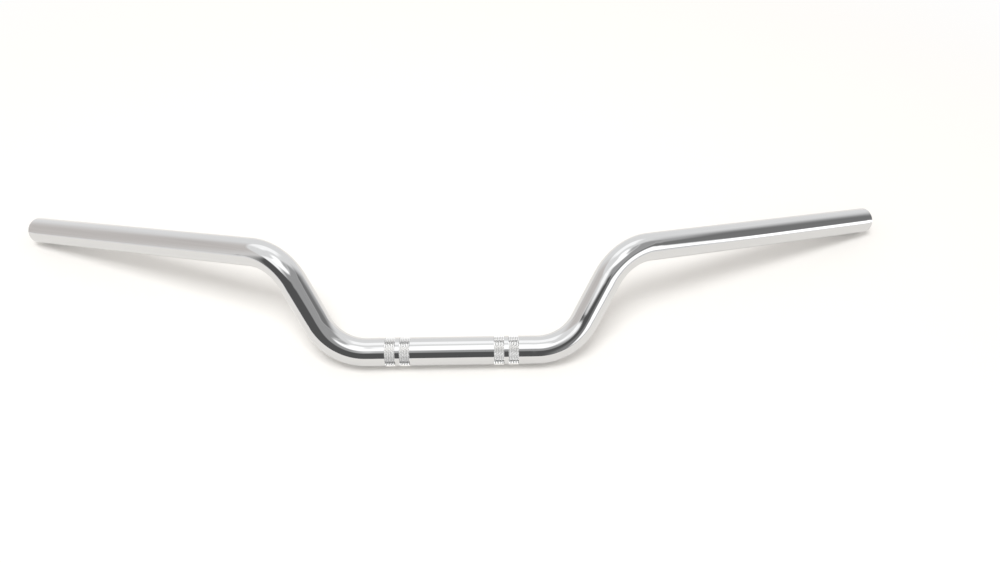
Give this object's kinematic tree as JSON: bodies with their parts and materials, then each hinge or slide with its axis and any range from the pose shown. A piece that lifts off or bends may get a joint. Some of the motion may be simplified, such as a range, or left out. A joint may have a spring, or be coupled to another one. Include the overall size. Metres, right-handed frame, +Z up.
{
  "type": "motorcycle handlebar",
  "caption": "One-piece bent tubular motorcycle handlebar with raised, swept-back ends and knurled clamp bands, lying on its centre and its ends.",
  "frame": {"origin": "middle of the clamp axis, at the centre of the bar", "axes": "+X along the clamp axis, towards one grip end; +Y towards the grip ends as the bar lies; +Z up from the surface that the bar lies on, 11.3 mm below the origin"},
  "size_m": [0.75, 0.1591, 0.0747],
  "materials": {
    "chrome_plate": "polished chrome plate on a steel tube"
  },
  "bodies": {
    "root": {"handlebar": "chrome_plate"}
  },
  "joints": []
}
